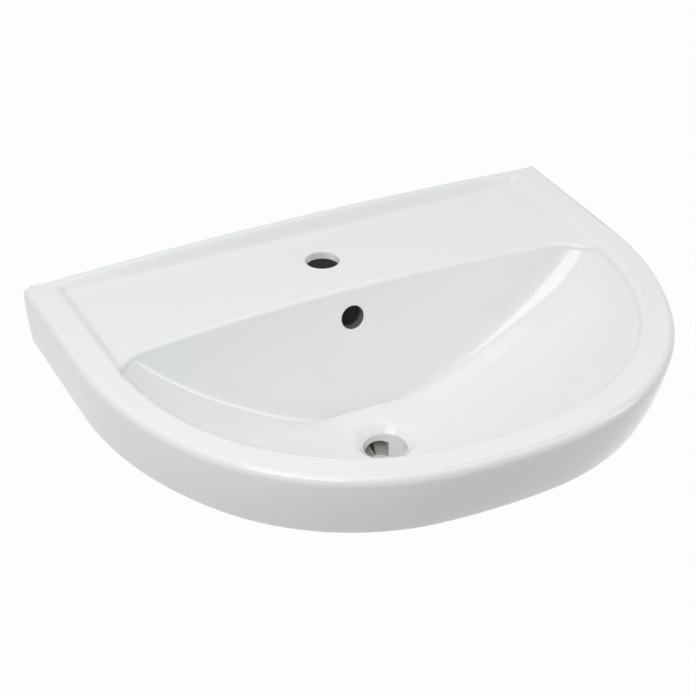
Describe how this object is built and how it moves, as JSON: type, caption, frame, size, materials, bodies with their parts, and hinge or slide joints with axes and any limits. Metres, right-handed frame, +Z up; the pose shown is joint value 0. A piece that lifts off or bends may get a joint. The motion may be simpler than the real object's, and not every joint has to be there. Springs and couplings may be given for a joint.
{
  "type": "wall hung basin",
  "caption": "D-shaped wall hung wash basin with raised rim, tap deck with one tap hole, overflow and waste outlet, hung on two wall bolts.",
  "frame": {"origin": "on the wall face, midway between the axes of the two wall bolts, 70 mm below the top of the rim", "axes": "+Z up, +Y into the wall, +X to the right of a person who faces the wall; the user stands at -Y"},
  "size_m": [0.5992, 0.5383, 0.1997],
  "materials": {
    "ware": "white gloss glaze",
    "zinc_steel": "zinc plated",
    "nylon": "light grey nylon"
  },
  "bodies": {
    "root": {"basin_body": "ware", "left_hanger_bolt": "zinc_steel", "left_wall_plug": "nylon", "left_fixing_bush": "nylon", "left_washer": "zinc_steel", "left_hex_nut": "zinc_steel", "right_hanger_bolt": "zinc_steel", "right_wall_plug": "nylon", "right_fixing_bush": "nylon", "right_washer": "zinc_steel", "right_hex_nut": "zinc_steel"}
  },
  "joints": []
}
